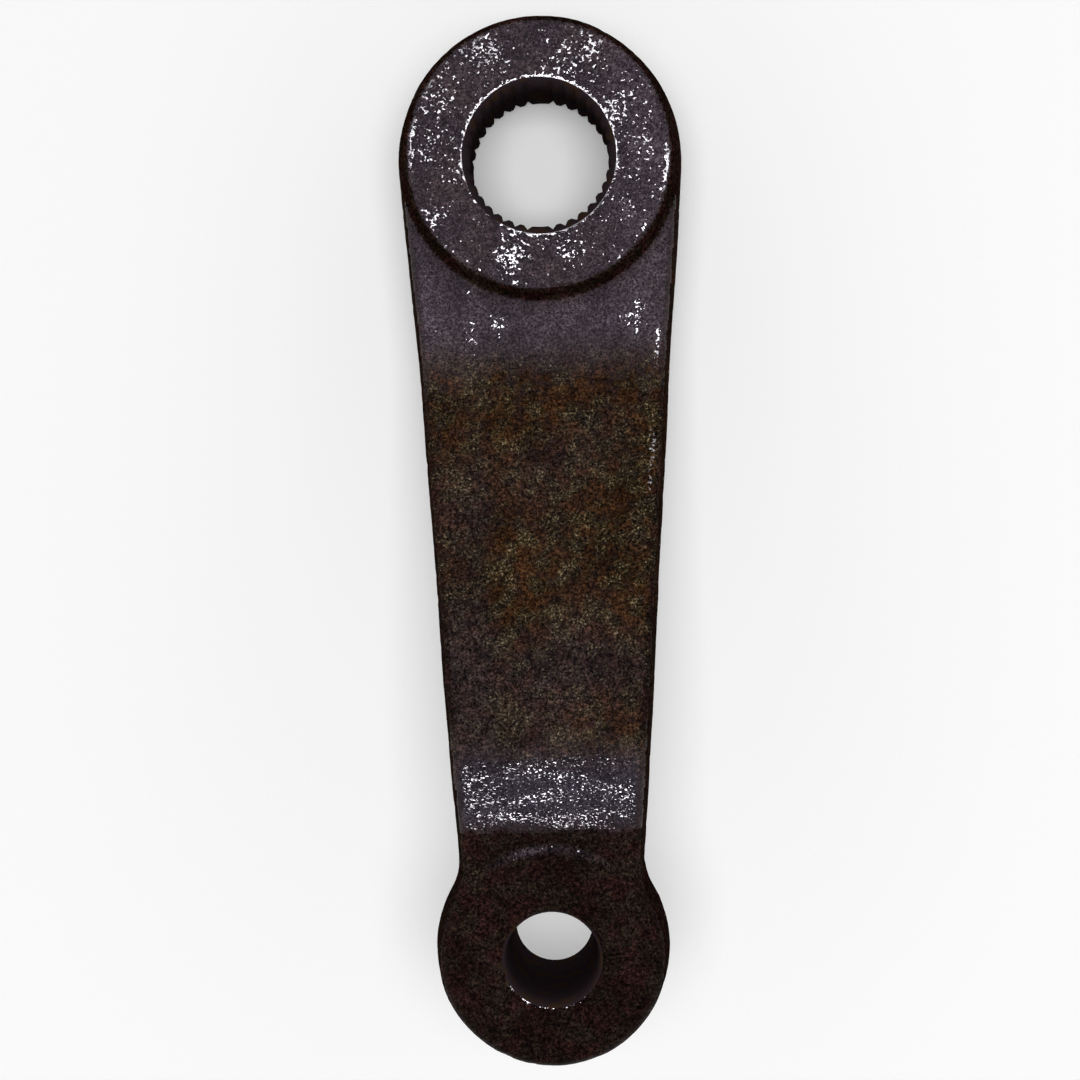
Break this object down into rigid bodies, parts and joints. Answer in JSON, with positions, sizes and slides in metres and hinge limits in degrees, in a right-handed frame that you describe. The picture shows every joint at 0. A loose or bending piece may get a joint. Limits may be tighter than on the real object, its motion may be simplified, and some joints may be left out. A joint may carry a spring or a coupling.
{
  "type": "pitman arm",
  "caption": "Dropped steel pitman arm, forged in one piece, with a tapered serrated hub bore for a steering shaft and a tapered eye for a drag link stud.",
  "frame": {"origin": "on the axis of the serrated bore, in the plane of the hub's shaft-side face", "axes": "+Z along the serrated bore towards the nut side, -Y along the arm towards the stud eye, X across the arm"},
  "size_m": [0.063, 0.2245, 0.053],
  "materials": {
    "forged_steel": "dark forging scale, semi-gloss, with worn bright specks"
  },
  "bodies": {
    "root": {"pitman_arm": "forged_steel"}
  },
  "joints": []
}
